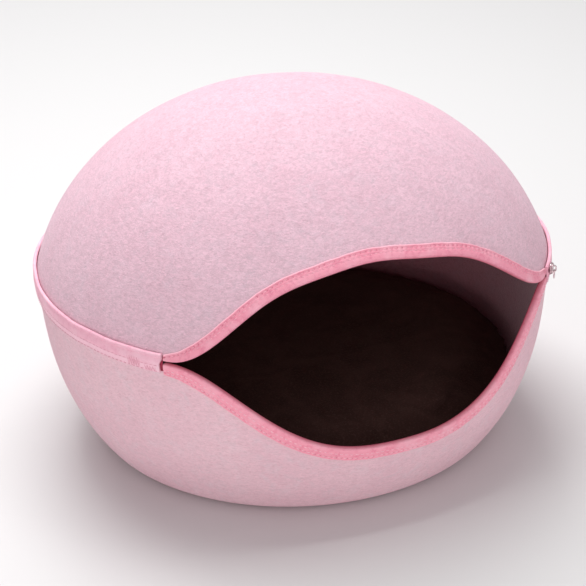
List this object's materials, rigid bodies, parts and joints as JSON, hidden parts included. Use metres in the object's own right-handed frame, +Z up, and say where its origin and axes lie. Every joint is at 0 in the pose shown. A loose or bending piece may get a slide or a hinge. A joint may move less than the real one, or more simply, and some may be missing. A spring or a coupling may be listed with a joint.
{
  "type": "egg-shaped felt pet bed",
  "caption": "Egg-shaped covered pet bed in moulded pink felt, with an eye-shaped bound opening, a zip round the back and a loose dark brown cushion.",
  "frame": {"origin": "middle of the flat base, on the surface that the bed stands on, below the top of the dome", "axes": "+Z up, the opening faces -Y, +X is to the right as seen from the front"},
  "size_m": [0.4636, 0.4505, 0.3125],
  "materials": {
    "felt": "pink needled felt with pale flecks, hot-moulded, matte",
    "binding_tape": "pink woven tape, soft sheen, stitched along its edge",
    "cover_tape": "pale pink woven zip tape with a piped top edge",
    "zip_nylon": "pink nylon coil",
    "zip_metal": "nickel-plated zinc, satin",
    "cushion_cloth": "dark brown brushed cloth, matte"
  },
  "bodies": {
    "root": {"dome_shell": "felt", "bowl_shell": "felt", "dome_binding": "binding_tape", "bowl_binding": "binding_tape", "zip_cover": "cover_tape", "zip_chain": "zip_nylon", "zip_slider": "zip_metal", "zip_pull": "zip_metal", "cushion": "cushion_cloth"}
  },
  "joints": []
}
